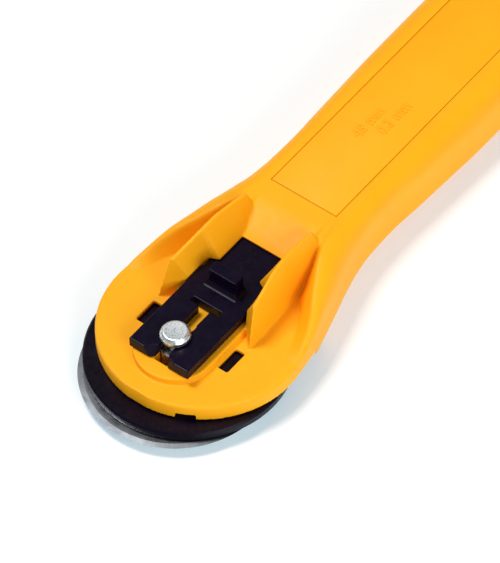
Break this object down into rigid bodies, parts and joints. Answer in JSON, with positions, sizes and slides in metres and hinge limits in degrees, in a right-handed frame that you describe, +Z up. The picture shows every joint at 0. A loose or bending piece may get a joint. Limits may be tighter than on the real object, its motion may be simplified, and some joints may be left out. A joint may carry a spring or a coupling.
{
  "type": "rotary cutter",
  "caption": "Rotary fabric cutter with a straight moulded handle, a turning disc blade, and a thumb lever that slides a round guard over the edge.",
  "frame": {"origin": "centre of the flat outer face of the axle pin's cap, on the blade's axis, at the level of the surface the cutter lies on", "axes": "+X along the handle towards its free end, +Z up towards the thumb lever, +Y completes a right-handed frame; the blade turns about Z"},
  "size_m": [0.1747, 0.0492, 0.0232],
  "materials": {
    "handle_yellow": "satin moulded yellow",
    "cover_yellow": "satin moulded yellow",
    "lever_black": "satin moulded black",
    "guard_black": "satin moulded black",
    "blade_steel": "ground steel with a polished edge bevel",
    "pin_plated": "bright plated, turned"
  },
  "bodies": {
    "holder": {"handle_body": "handle_yellow", "grip_cover": "cover_yellow", "axle_pin": "pin_plated"},
    "slider": {"slide_lever": "lever_black", "blade_guard": "guard_black"},
    "cutter_disc": {"blade": "blade_steel"}
  },
  "joints": [
    {"name": "guard_slide", "type": "slide", "parent": "holder", "child": "slider", "axis": [1, 0, 0], "range_m": [-0.0045, 0.0083]},
    {"name": "blade_spin", "type": "hinge", "parent": "holder", "child": "cutter_disc", "pos_m": [0, 0, 0.00275], "axis": [0, 0, 1], "continuous": true}
  ]
}
